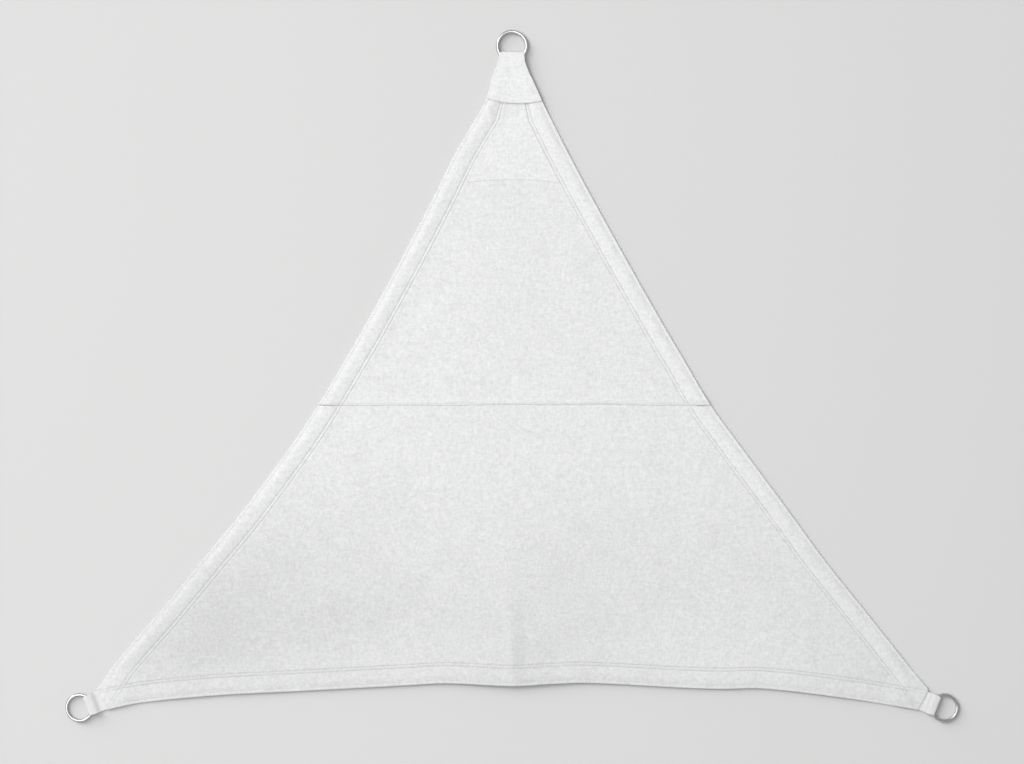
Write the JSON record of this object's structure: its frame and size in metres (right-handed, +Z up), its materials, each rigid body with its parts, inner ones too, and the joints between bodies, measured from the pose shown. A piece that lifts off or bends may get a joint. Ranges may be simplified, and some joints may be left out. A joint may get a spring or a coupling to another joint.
{
  "type": "triangular shade sail with corner rings",
  "caption": "Triangular canvas shade sail lying flat, with hollowed edges, wide stitched hems, a lapped cross seam and a round ring at each corner.",
  "frame": {"origin": "middle of the whole outline seen from above, on the surface that the sail lies on", "axes": "+X along the long lower edge, from the left ring to the right ring; +Y from the lower edge to the top corner; +Z up, out of the cloth's face"},
  "size_m": [2.0668, 1.6009, 0.0124],
  "materials": {
    "canvas": "off-white plain-weave polyester canvas, matt",
    "webbing": "off-white woven webbing, matt",
    "ring_steel": "polished stainless steel round bar, bent and welded"
  },
  "bodies": {
    "root": {"upper_panel": "canvas", "lower_panel": "canvas", "apex_patch": "canvas", "top_cap": "canvas", "left_tab": "webbing", "right_tab": "webbing", "top_ring": "ring_steel", "left_ring": "ring_steel", "right_ring": "ring_steel"}
  },
  "joints": []
}
